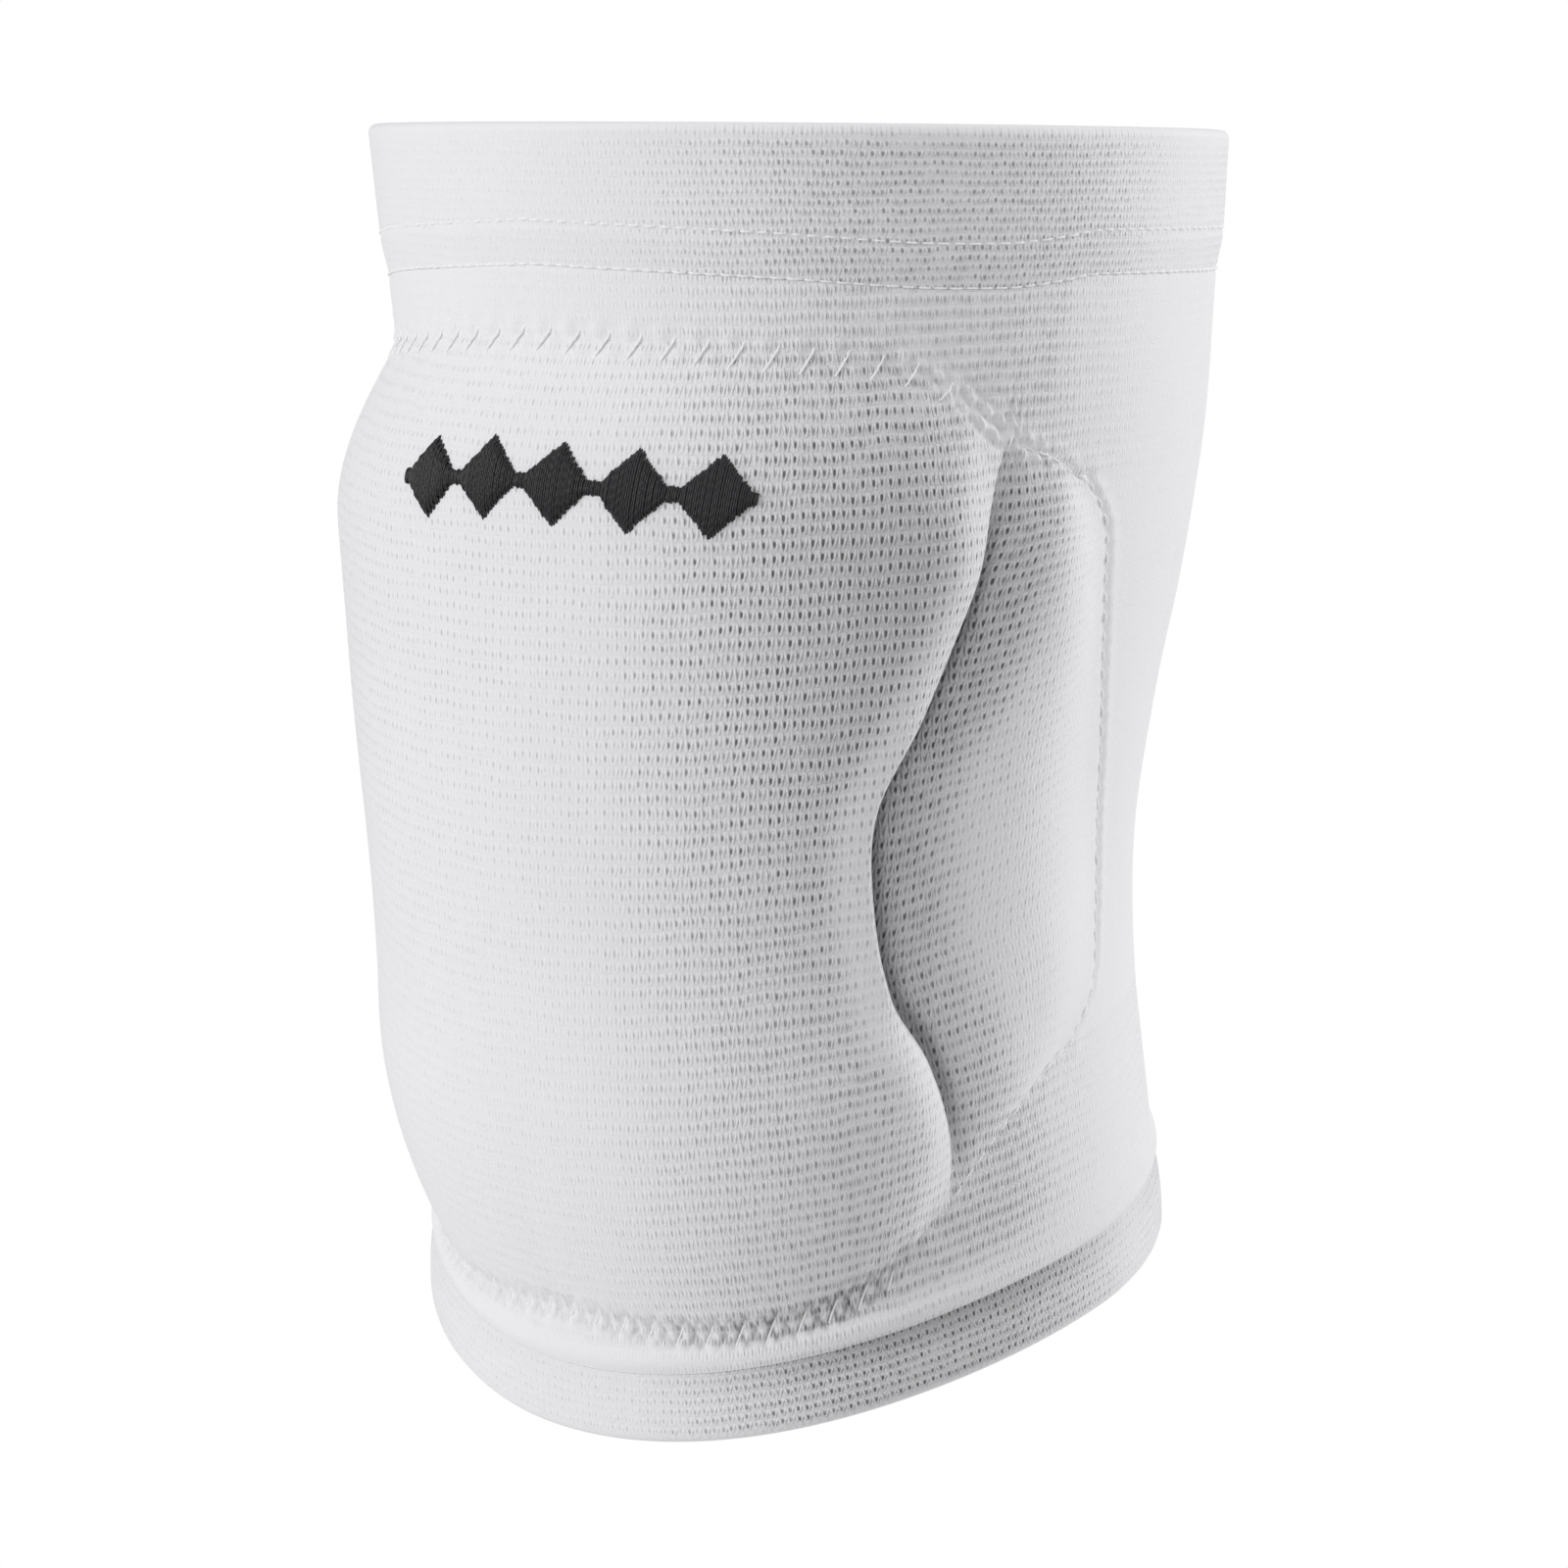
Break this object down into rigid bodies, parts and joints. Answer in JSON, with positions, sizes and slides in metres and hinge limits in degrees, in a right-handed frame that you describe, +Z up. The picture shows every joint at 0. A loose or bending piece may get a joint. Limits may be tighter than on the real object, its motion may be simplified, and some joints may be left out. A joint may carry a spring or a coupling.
{
  "type": "volleyball knee pad",
  "caption": "Pull-on knitted knee pad in its worn form, with a thick foam pad over the kneecap, a crescent pad at each side, a stitched top hem and an elastic calf band.",
  "frame": {"origin": "on the leg's axis, level with the kneecap, where the worn pad sits on the leg", "axes": "+Z up the thigh along the leg's axis, -Y to the front of the knee, +X to the side with the right wing pad"},
  "size_m": [0.1338, 0.1388, 0.1971],
  "materials": {
    "sleeve_knit": "white ribbed knit, matte, slightly fuzzy",
    "band_knit": "white elastic knit, matte",
    "pad_foam": "soft foam faced with thin white knit",
    "embroidery_thread": "black satin-stitch embroidery"
  },
  "bodies": {
    "root": {"top_hem": "band_knit", "knit_sleeve": "sleeve_knit", "bottom_band": "band_knit", "main_pad": "pad_foam", "wing_pad_left": "pad_foam", "wing_pad_right": "pad_foam", "motif": "embroidery_thread"}
  },
  "joints": []
}
